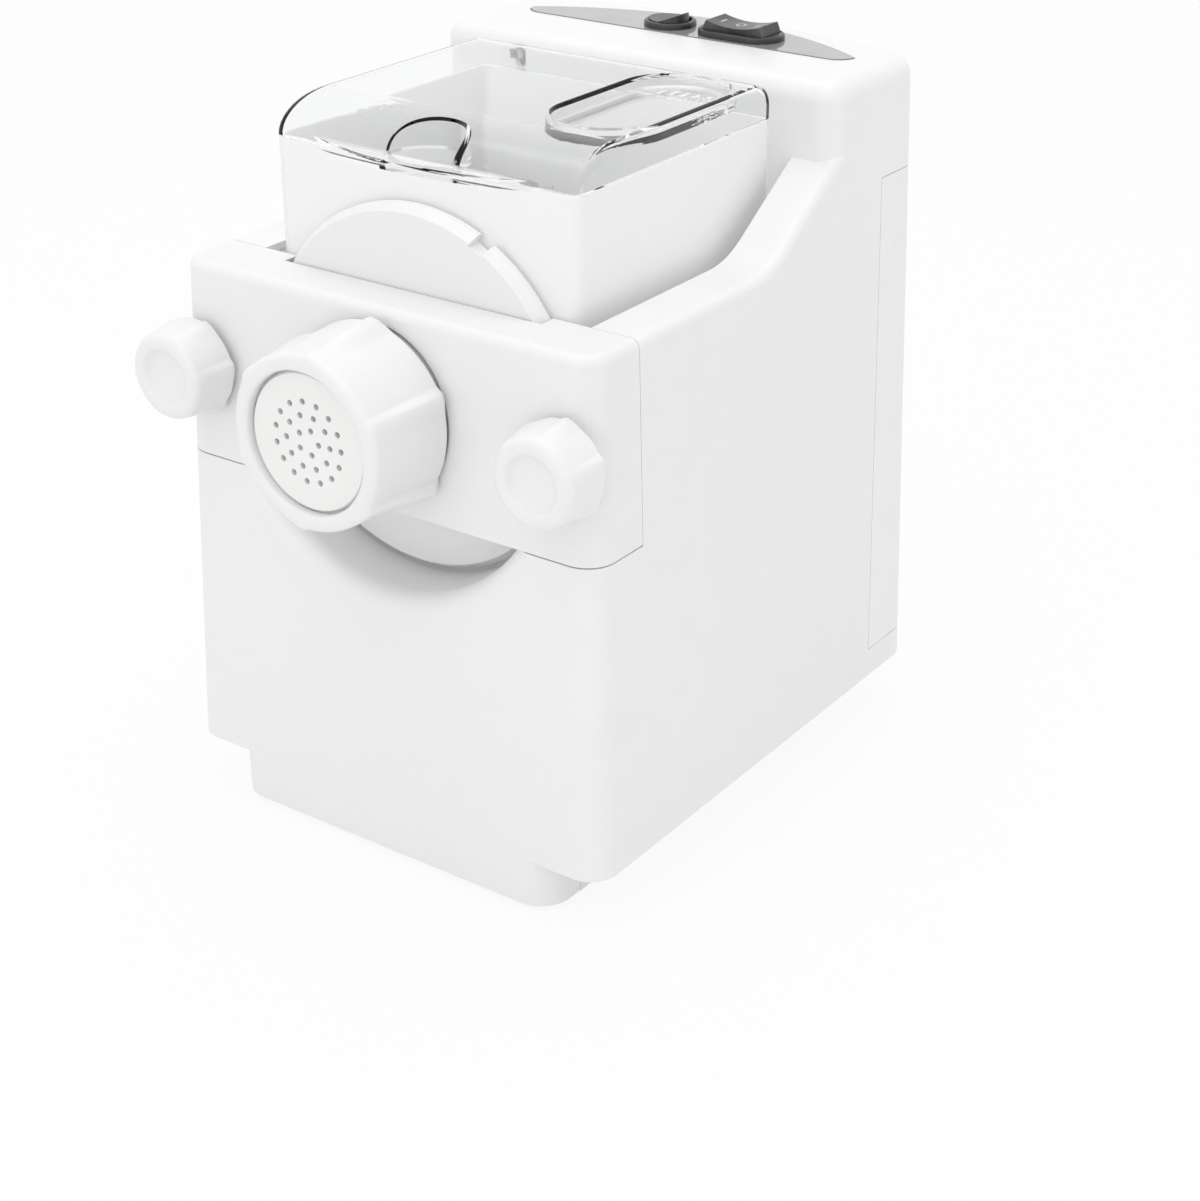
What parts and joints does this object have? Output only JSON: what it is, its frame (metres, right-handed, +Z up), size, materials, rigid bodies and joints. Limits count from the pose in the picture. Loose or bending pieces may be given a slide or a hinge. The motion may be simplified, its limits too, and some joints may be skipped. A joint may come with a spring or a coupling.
{
  "type": "electric pasta maker",
  "caption": "White countertop electric pasta maker with a clear mixing cup and lid, round clamping knobs, a ring nut with shaping die and rocker switches on top.",
  "frame": {"origin": "Centre of the machine's bounding box seen from above, at the underside of the rubber feet.", "axes": "+Z up; the front with the ring nut faces -Y; +X is the machine's left side as it faces the user, the right side of the front view."},
  "size_m": [0.2174, 0.2957, 0.3036],
  "materials": {
    "white_plastic": "satin white moulded housing plastic",
    "clear_plastic": "clear polycarbonate",
    "grey_gloss": "glossy grey control plate",
    "black_plastic": "black switch plastic",
    "white_inner": "white acetal inner parts",
    "steel": "zinc plated or turned steel",
    "brass": "turned brass",
    "rubber": "black rubber",
    "silicone": "pale silicone seal",
    "motor_metal": "painted motor case",
    "gear_plastic": "moulded gear case",
    "board": "green circuit board",
    "dark_parts": "dark moulded parts"
  },
  "bodies": {
    "housing": {"main_housing": "white_plastic", "rear_cover": "white_plastic", "base_tray": "white_plastic", "rubber_feet": "rubber", "base_screws": "steel", "rear_screws": "steel", "bowl_cradle": "white_plastic", "mains_inlet": "black_plastic", "inlet_blades": "brass", "panel_studs": "steel", "control_plate": "grey_gloss", "power_bezel": "black_plastic", "mode_bezel": "black_plastic", "interlock_switch": "dark_parts", "motor_can": "motor_metal", "motor_saddle": "gear_plastic", "gear_case": "gear_plastic", "gear_cover": "gear_plastic", "shaft_bushes": "brass", "shaft_seal": "rubber", "gear_case_screws": "steel", "case_bracket": "gear_plastic", "control_board": "board", "board_parts": "dark_parts", "board_standoffs": "gear_plastic"},
    "power_switch": {"power_rocker": "black_plastic"},
    "mode_switch": {"mode_rocker": "black_plastic"},
    "plunger": {"interlock_plunger": "white_inner"},
    "output_drive": {"output_gear": "white_inner", "output_shaft": "steel"},
    "idler_drive": {"idler_gear": "white_inner", "idler_shaft": "steel"},
    "motor_drive": {"motor_rotor": "steel", "motor_fan": "dark_parts"},
    "cup": {"mixing_cup": "clear_plastic", "cup_seal": "silicone"},
    "lid": {"cup_lid": "clear_plastic"},
    "paddle": {"kneading_paddle": "white_inner", "auger_screw": "white_inner"},
    "front": {"front_panel": "white_plastic", "front_disc": "white_plastic", "disc_gasket": "silicone"},
    "die": {"shaping_die": "white_inner"},
    "nut": {"ring_nut": "white_plastic"},
    "washer_left": {"knob_washer_left": "white_inner"},
    "washer_right": {"knob_washer_right": "white_inner"},
    "knob_body_left": {"knob_left": "white_plastic", "knob_insert_left": "brass"},
    "knob_body_right": {"knob_right": "white_plastic", "knob_insert_right": "brass"}
  },
  "joints": [
    {"name": "cup_slide", "type": "slide", "parent": "housing", "child": "cup", "axis": [0, -1, 0], "range_m": [0, 0.06]},
    {"name": "front_slide", "type": "slide", "parent": "cup", "child": "front", "axis": [0, -1, 0], "range_m": [0, 0.035]},
    {"name": "lid_hinge", "type": "hinge", "parent": "cup", "child": "lid", "pos_m": [0, 0.05941, 0.286], "axis": [-1, 0, 0], "range_deg": [0, 30]},
    {"name": "paddle_spin", "type": "hinge", "parent": "cup", "child": "paddle", "pos_m": [0, -0.00559, 0.1945], "axis": [0, 1, 0], "continuous": true},
    {"name": "output_spin", "type": "hinge", "parent": "housing", "child": "output_drive", "pos_m": [0, 0.08441, 0.1945], "axis": [0, 1, 0], "continuous": true},
    {"name": "idler_spin", "type": "hinge", "parent": "housing", "child": "idler_drive", "pos_m": [0, 0.08441, 0.1345], "axis": [0, 1, 0], "continuous": true},
    {"name": "motor_spin", "type": "hinge", "parent": "housing", "child": "motor_drive", "pos_m": [0, 0.01441, 0.0845], "axis": [0, 1, 0], "continuous": true},
    {"name": "power_press", "type": "hinge", "parent": "housing", "child": "power_switch", "pos_m": [-0.0122, 0.10841, 0.296], "axis": [0, 1, 0], "range_deg": [0, 18]},
    {"name": "mode_press", "type": "hinge", "parent": "housing", "child": "mode_switch", "pos_m": [0.0235, 0.10841, 0.296], "axis": [0, 1, 0], "range_deg": [-8, 8]},
    {"name": "interlock_press", "type": "slide", "parent": "housing", "child": "plunger", "axis": [0, 1, 0], "range_m": [0, 0.002], "stiffness_N_per_m": 200},
    {"name": "die_slide", "type": "slide", "parent": "front", "child": "die", "axis": [0, -1, 0], "range_m": [0, 0.006]},
    {"name": "nut_turn", "type": "hinge", "parent": "die", "child": "nut", "pos_m": [0, -0.13059, 0.1945], "axis": [0, -1, 0], "range_deg": [0, 720]},
    {"name": "washer_slide_left", "type": "slide", "parent": "front", "child": "washer_left", "axis": [0, -1, 0], "range_m": [0, 0.005]},
    {"name": "washer_slide_right", "type": "slide", "parent": "front", "child": "washer_right", "axis": [0, -1, 0], "range_m": [0, 0.005]},
    {"name": "knob_turn_left", "type": "hinge", "parent": "washer_left", "child": "knob_body_left", "pos_m": [-0.089, -0.11759, 0.1945], "axis": [0, -1, 0], "range_deg": [0, 900]},
    {"name": "knob_turn_right", "type": "hinge", "parent": "washer_right", "child": "knob_body_right", "pos_m": [0.089, -0.11759, 0.1945], "axis": [0, -1, 0], "range_deg": [0, 900]}
  ],
  "couplings": [
    {"joint": "paddle_spin", "follows": "output_spin", "ratio": 1},
    {"joint": "idler_spin", "follows": "output_spin", "ratio": -5},
    {"joint": "motor_spin", "follows": "output_spin", "ratio": 26.25},
    {"joint": "die_slide", "follows": "nut_turn", "m_per_rad": 0.00047746},
    {"joint": "washer_slide_left", "follows": "knob_turn_left", "m_per_rad": 0.00031831},
    {"joint": "washer_slide_right", "follows": "knob_turn_right", "m_per_rad": 0.00031831}
  ]
}
